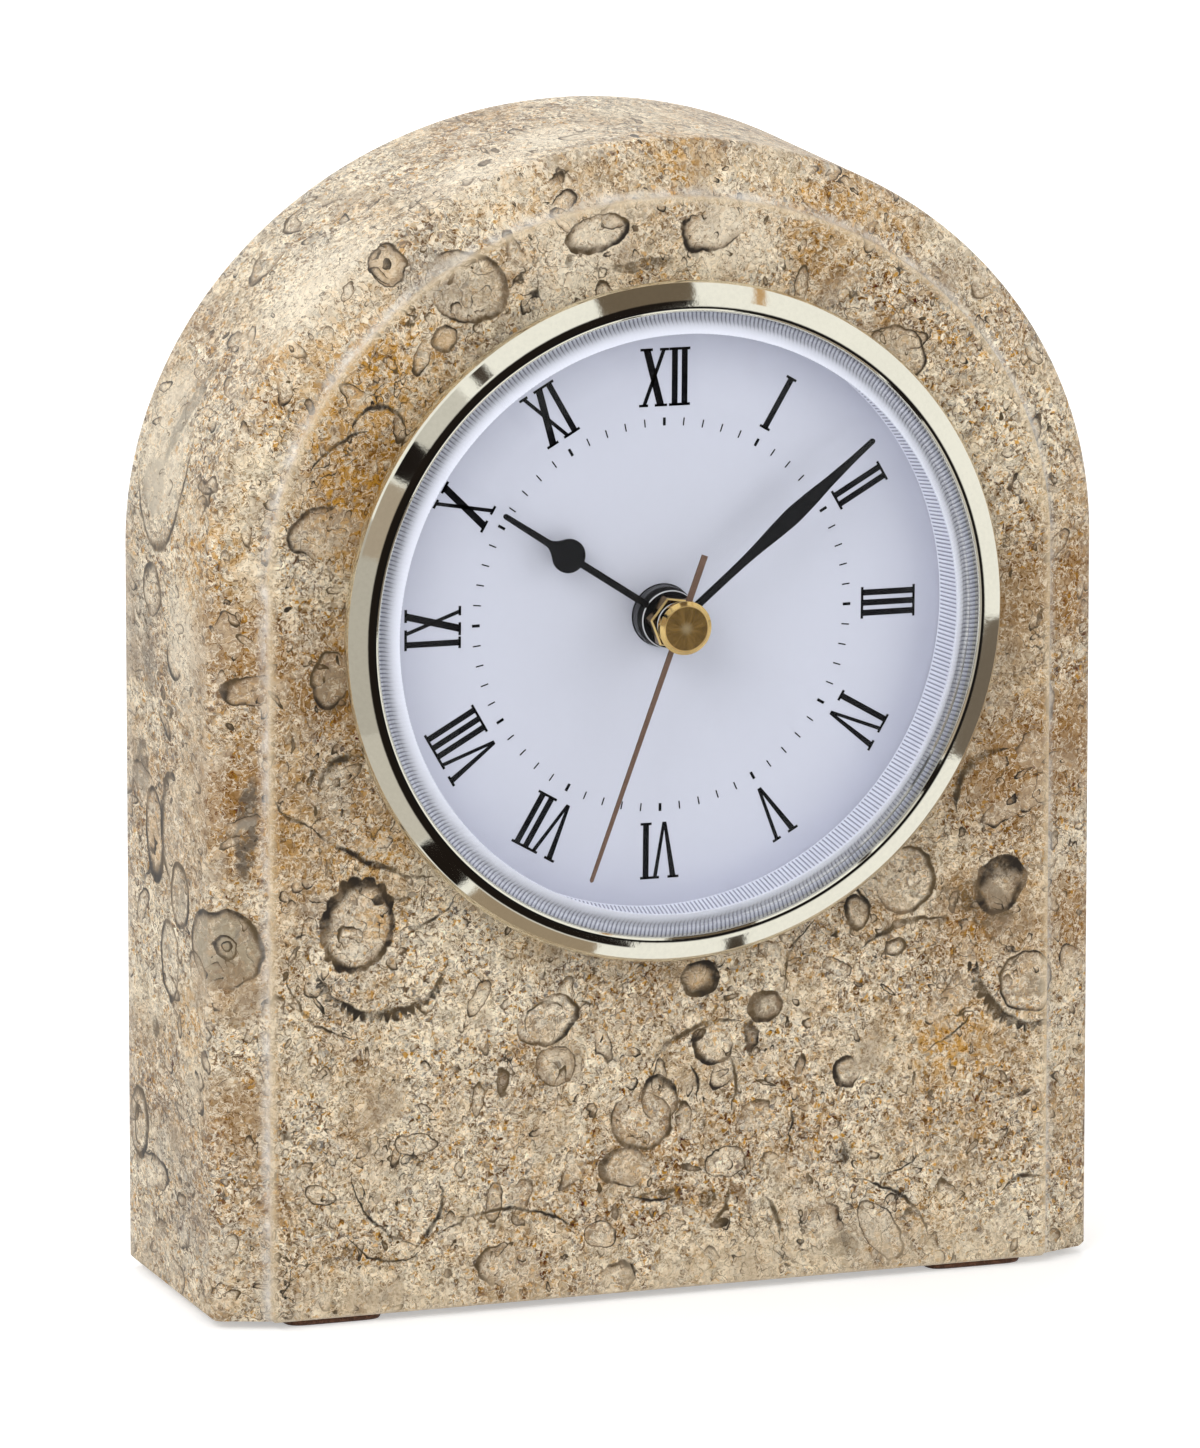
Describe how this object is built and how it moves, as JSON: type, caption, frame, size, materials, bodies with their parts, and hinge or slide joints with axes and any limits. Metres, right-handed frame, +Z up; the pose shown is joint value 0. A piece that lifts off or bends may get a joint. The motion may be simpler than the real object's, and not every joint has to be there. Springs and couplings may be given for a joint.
{
  "type": "desk clock",
  "caption": "Arched fossil-stone desk clock with a moulded front edge, gilt bezel, domed lens, Roman dial and a geared quartz movement open at the back.",
  "frame": {"origin": "bottom centre of the clock's box, on the plane of the felt pads' undersides", "axes": "+Z up, the dial faces -Y, +X to the right as the dial is read"},
  "size_m": [0.122, 0.0514, 0.1536],
  "materials": {
    "stone": "polished beige fossil limestone",
    "felt": "brown felt",
    "bezel_gold": "pale gilt mirror",
    "lens": "clear domed acrylic",
    "ring": "clear serrated plastic",
    "dial": "satin off-white with black print",
    "black_plastic": "moulded black",
    "grey_plastic": "moulded dark grey",
    "rubber": "black rubber",
    "black_hand": "satin black",
    "bronze_hand": "brown bronze",
    "brass": "turned brass",
    "steel": "plain steel",
    "white_gear": "natural acetal",
    "amber_gear": "amber acetal",
    "magnet": "sintered magnet",
    "copper": "enamelled copper wire",
    "board": "green circuit board",
    "cell": "plain sleeved cell"
  },
  "bodies": {
    "clock_body": {"stone_body": "stone", "felt_pad_front_left": "felt", "felt_pad_front_right": "felt", "felt_pad_rear_left": "felt", "felt_pad_rear_right": "felt", "bezel": "bezel_gold", "lens": "lens", "dial_ring": "ring", "dial": "dial", "insert_cup": "black_plastic", "grip_gasket": "rubber", "movement_front_case": "black_plastic", "movement_rear_case": "grey_plastic", "stator": "steel", "coil_core": "steel", "coil_bobbin": "white_gear", "coil_winding": "copper", "circuit_board": "board", "circuit_chip": "black_plastic", "quartz_crystal": "steel", "battery": "cell", "contact_positive": "steel", "contact_negative": "steel"},
    "minute_work": {"minute_tube": "brass", "minute_hand_bush": "brass", "minute_hand": "black_hand"},
    "hour_work": {"hour_wheel": "white_gear", "hour_hand": "black_hand"},
    "motion_work": {"motion_wheel": "white_gear"},
    "setting_work": {"setting_stem": "white_gear", "setting_knob": "black_plastic"},
    "seconds_work": {"seconds_wheel": "amber_gear", "seconds_arbor": "steel", "second_hand": "bronze_hand", "second_hand_cap": "brass"},
    "third_work": {"third_wheel": "white_gear"},
    "centre_work": {"centre_wheel": "amber_gear"},
    "intermediate_work": {"intermediate_wheel": "white_gear"},
    "rotor_work": {"rotor_pinion": "white_gear", "rotor_magnet": "magnet"}
  },
  "joints": [
    {"name": "minute_hand_turn", "type": "hinge", "parent": "clock_body", "child": "minute_work", "pos_m": [0, -0.01435, 0.0914], "axis": [0, 1, 0], "continuous": true},
    {"name": "hour_hand_turn", "type": "hinge", "parent": "clock_body", "child": "hour_work", "pos_m": [0, -0.01435, 0.0914], "axis": [0, 1, 0], "continuous": true},
    {"name": "motion_wheel_turn", "type": "hinge", "parent": "clock_body", "child": "motion_work", "pos_m": [-0.00789, -0.01435, 0.08853], "axis": [0, 1, 0], "continuous": true},
    {"name": "setting_knob_turn", "type": "hinge", "parent": "clock_body", "child": "setting_work", "pos_m": [-0.01629, -0.01435, 0.08853], "axis": [0, 1, 0], "continuous": true},
    {"name": "second_hand_turn", "type": "hinge", "parent": "clock_body", "child": "seconds_work", "pos_m": [0, -0.01435, 0.0914], "axis": [0, 1, 0], "continuous": true},
    {"name": "third_wheel_turn", "type": "hinge", "parent": "clock_body", "child": "third_work", "pos_m": [-0.00349, -0.01435, 0.10098], "axis": [0, 1, 0], "continuous": true},
    {"name": "centre_wheel_turn", "type": "hinge", "parent": "clock_body", "child": "centre_work", "pos_m": [0, -0.01435, 0.0914], "axis": [0, 1, 0], "continuous": true},
    {"name": "intermediate_wheel_turn", "type": "hinge", "parent": "clock_body", "child": "intermediate_work", "pos_m": [0.00909, -0.01435, 0.09665], "axis": [0, 1, 0], "continuous": true},
    {"name": "rotor_turn", "type": "hinge", "parent": "clock_body", "child": "rotor_work", "pos_m": [0.01119, -0.01435, 0.10447], "axis": [0, 1, 0], "continuous": true}
  ],
  "couplings": [
    {"joint": "hour_hand_turn", "follows": "minute_hand_turn", "ratio": 0.083333},
    {"joint": "motion_wheel_turn", "follows": "minute_hand_turn", "ratio": -0.33333},
    {"joint": "setting_knob_turn", "follows": "minute_hand_turn", "ratio": 1},
    {"joint": "third_wheel_turn", "follows": "second_hand_turn", "ratio": -0.13333},
    {"joint": "centre_wheel_turn", "follows": "second_hand_turn", "ratio": 0.016667},
    {"joint": "intermediate_wheel_turn", "follows": "second_hand_turn", "ratio": -6},
    {"joint": "rotor_turn", "follows": "second_hand_turn", "ratio": 30}
  ]
}
